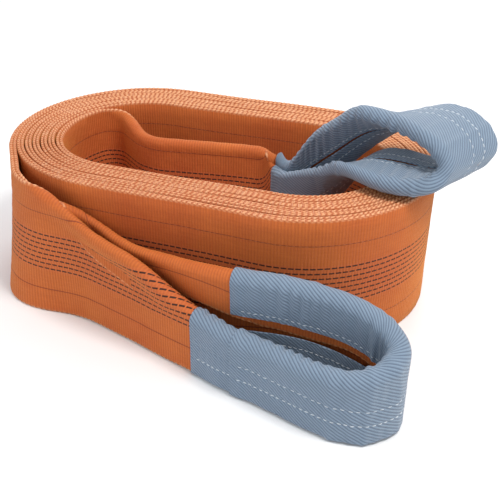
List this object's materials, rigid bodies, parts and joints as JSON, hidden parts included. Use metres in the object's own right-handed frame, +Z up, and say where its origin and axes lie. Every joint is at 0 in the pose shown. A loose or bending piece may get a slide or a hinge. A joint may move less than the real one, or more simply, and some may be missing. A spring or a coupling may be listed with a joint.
{
  "type": "flat web sling",
  "caption": "Duplex flat web lifting sling with a sleeved eye at each end, rolled into an oblong coil that stands on its edge; both eyes hang free of the coil.",
  "frame": {"origin": "on the floor below the middle of the sling's own box", "axes": "+Z up, +X along the coil's long axis towards the end where both eyes lie, -Y towards the front eye"},
  "size_m": [0.8628, 0.6396, 0.3547],
  "materials": {
    "orange_webbing": "woven",
    "orange_thread": "thread",
    "sleeve_cloth": "twill",
    "white_thread": "thread"
  },
  "bodies": {
    "coil": {"coil_inner_ply": "orange_webbing", "coil_lower_seam": "orange_thread", "coil_outer_ply": "orange_webbing", "coil_upper_seam": "orange_thread"},
    "front_tail": {"front_tail_inner_ply": "orange_webbing", "front_tail_lower_seam": "orange_thread", "front_tail_outer_ply": "orange_webbing", "front_tail_upper_seam": "orange_thread"},
    "front_eye": {"front_band_row": "white_thread", "front_cuff_row": "white_thread", "front_edge_row": "white_thread", "front_eye_cuff": "sleeve_cloth", "front_eye_sleeve": "sleeve_cloth", "front_eye_web": "orange_webbing", "front_lip_row": "white_thread", "front_second_row": "white_thread"},
    "rear_tail": {"rear_tail_inner_ply": "orange_webbing", "rear_tail_lower_seam": "orange_thread", "rear_tail_outer_ply": "orange_webbing", "rear_tail_upper_seam": "orange_thread"},
    "rear_eye": {"rear_band_row": "white_thread", "rear_edge_row": "white_thread", "rear_eye_sleeve": "sleeve_cloth", "rear_eye_web": "orange_webbing", "rear_lip_row": "white_thread", "rear_second_row": "white_thread"}
  },
  "joints": [
    {"name": "front_tail_swing", "type": "hinge", "parent": "coil", "child": "front_tail", "pos_m": [-0.38108, -0.05035, 0.12], "axis": [0, 0, -1], "range_deg": [0, 45]},
    {"name": "front_eye_swing", "type": "hinge", "parent": "front_tail", "child": "front_eye", "pos_m": [-0.23746, -0.17046, 0.12], "axis": [0, 0, -1], "range_deg": [0, 30]},
    {"name": "rear_tail_swing", "type": "hinge", "parent": "coil", "child": "rear_tail", "pos_m": [-0.29781, 0.17625, 0.12], "axis": [0, 0, 1], "range_deg": [-9, 1]},
    {"name": "rear_eye_twist", "type": "hinge", "parent": "rear_tail", "child": "rear_eye", "pos_m": [0.01, 0.15233, 0.12], "axis": [-0.9976, -0.0698, 0], "range_deg": [0, 18]}
  ]
}
